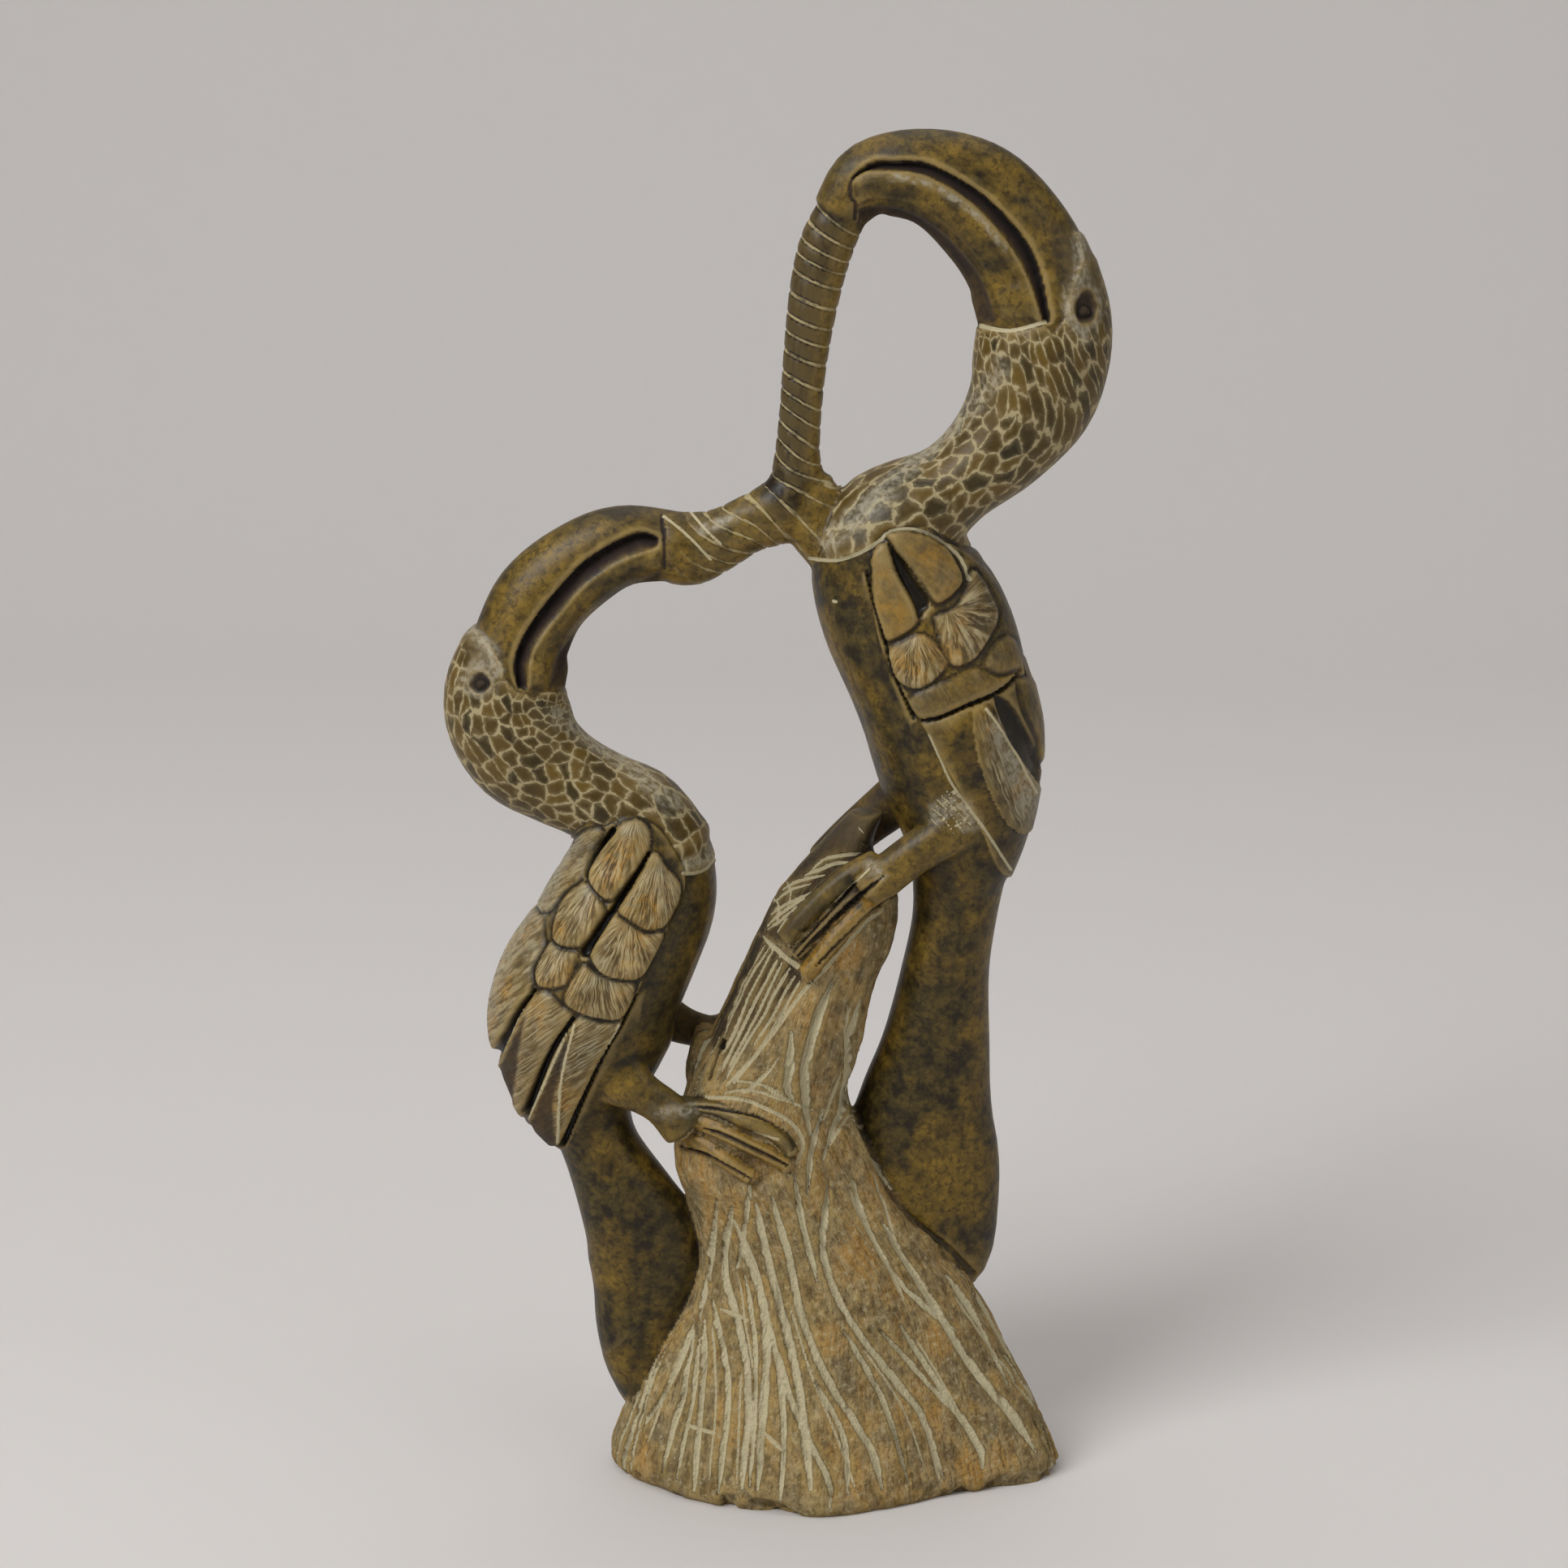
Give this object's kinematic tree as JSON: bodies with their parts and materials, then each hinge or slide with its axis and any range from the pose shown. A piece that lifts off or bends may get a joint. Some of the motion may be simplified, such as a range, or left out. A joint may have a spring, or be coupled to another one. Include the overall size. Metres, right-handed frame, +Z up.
{
  "type": "carved stone hornbill pair on a tree stump",
  "caption": "Carved stone figure of two hornbills on a fluted tree stump, facing each other and sharing one ringed worm between their beaks.",
  "frame": {"origin": "middle of the flat underside of the stump", "axes": "+Z up, +X to the right of the front view, towards the tall bird, +Y to the back"},
  "size_m": [0.1916, 0.0786, 0.4001],
  "materials": {
    "serpentine": "waxed and polished on the birds, chiselled and left rough on the stump, with light incised lines"
  },
  "bodies": {
    "root": {"hornbill_carving": "serpentine"}
  },
  "joints": []
}
